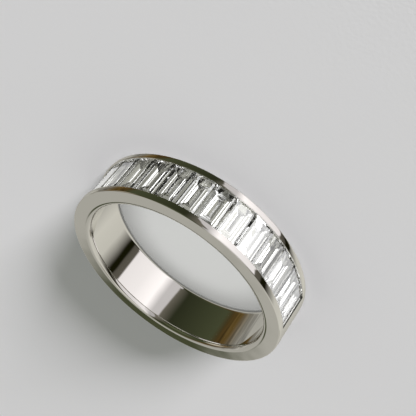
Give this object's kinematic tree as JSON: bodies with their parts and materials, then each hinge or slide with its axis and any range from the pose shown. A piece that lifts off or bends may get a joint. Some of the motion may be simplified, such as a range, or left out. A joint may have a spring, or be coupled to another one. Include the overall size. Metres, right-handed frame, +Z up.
{
  "type": "channel set wedding band",
  "caption": "Slim polished ring for a finger, with a row of straight baguette stones set edge to edge in a channel between low rails around the front half.",
  "frame": {"origin": "on the finger axis, in the plane of the lower side face that the ring rests on", "axes": "+Z up along the finger axis, -Y towards the middle of the stone row, +X to the right when the stones are seen from the front"},
  "size_m": [0.02, 0.02, 0.0045],
  "materials": {
    "white_gold": "high polish white gold, faintly warm, with soft polishing swirls and hairlines",
    "baguette_stone": "clear colourless step cut diamond, flat polished facets"
  },
  "bodies": {
    "root": {"band": "white_gold", "baguette_01": "baguette_stone", "baguette_02": "baguette_stone", "baguette_03": "baguette_stone", "baguette_04": "baguette_stone", "baguette_05": "baguette_stone", "baguette_06": "baguette_stone", "baguette_07": "baguette_stone", "baguette_08": "baguette_stone", "baguette_09": "baguette_stone", "baguette_10": "baguette_stone", "baguette_11": "baguette_stone", "baguette_12": "baguette_stone", "baguette_13": "baguette_stone", "baguette_14": "baguette_stone", "baguette_15": "baguette_stone", "baguette_16": "baguette_stone"}
  },
  "joints": []
}
